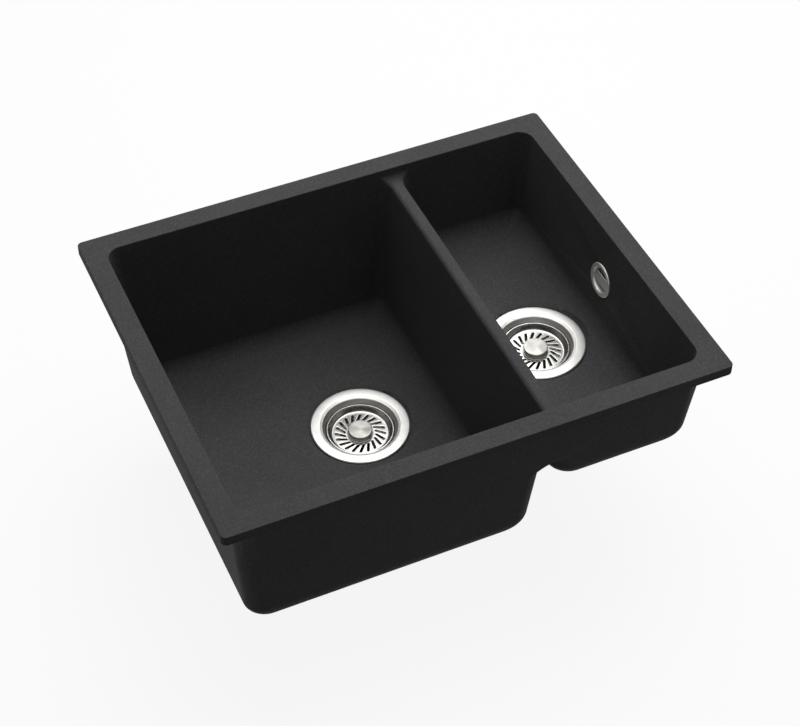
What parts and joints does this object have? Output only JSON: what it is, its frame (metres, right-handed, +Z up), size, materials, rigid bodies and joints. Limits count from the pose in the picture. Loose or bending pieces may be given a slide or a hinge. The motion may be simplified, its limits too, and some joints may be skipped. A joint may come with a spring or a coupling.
{
  "type": "one and a half bowl kitchen sink",
  "caption": "Dark stone composite undermount sink with a large bowl, a small bowl, a low divider, lift-out basket strainers and a barred overflow.",
  "frame": {"origin": "centre of the rim's top plane", "axes": "+X towards the small bowl, +Y towards the back, +Z up"},
  "size_m": [0.56, 0.45, 0.279],
  "materials": {
    "granite": "fine matt grain",
    "polished_steel": "bright, finely turned",
    "brushed_steel": "brushed",
    "foam": "closed-cell foam",
    "rubber": "matt",
    "plastic": "moulded, satin",
    "clip_plastic": "moulded, satin",
    "hose_plastic": "moulded, satin",
    "brass": "machined"
  },
  "bodies": {
    "sink": {"sink_body": "granite", "main_waste_cup": "polished_steel", "main_flange_gasket": "foam", "main_lower_gasket": "rubber", "main_waste_housing": "plastic", "main_clamp_screw": "brushed_steel", "main_insert_nut": "brass", "half_waste_cup": "polished_steel", "half_flange_gasket": "foam", "half_lower_gasket": "rubber", "half_waste_housing": "plastic", "half_clamp_screw": "brushed_steel", "half_insert_nut": "brass", "overflow_rosette": "polished_steel", "overflow_gasket": "foam", "overflow_housing": "plastic", "overflow_hose": "hose_plastic", "upper_hose_clamp": "brushed_steel", "lower_hose_clamp": "brushed_steel"},
    "main_strainer": {"main_strainer_basket": "polished_steel", "main_strainer_knob": "brushed_steel", "main_strainer_stem": "brushed_steel", "main_strainer_seal": "rubber", "main_seal_retainer": "clip_plastic"},
    "half_strainer": {"half_strainer_basket": "polished_steel", "half_strainer_knob": "brushed_steel", "half_strainer_stem": "brushed_steel", "half_strainer_seal": "rubber", "half_seal_retainer": "clip_plastic"}
  },
  "joints": [
    {"name": "main_strainer_lift", "type": "slide", "parent": "sink", "child": "main_strainer", "axis": [0, 0, 1], "range_m": [0, 0.245]},
    {"name": "half_strainer_lift", "type": "slide", "parent": "sink", "child": "half_strainer", "axis": [0, 0, 1], "range_m": [0, 0.17]}
  ]
}
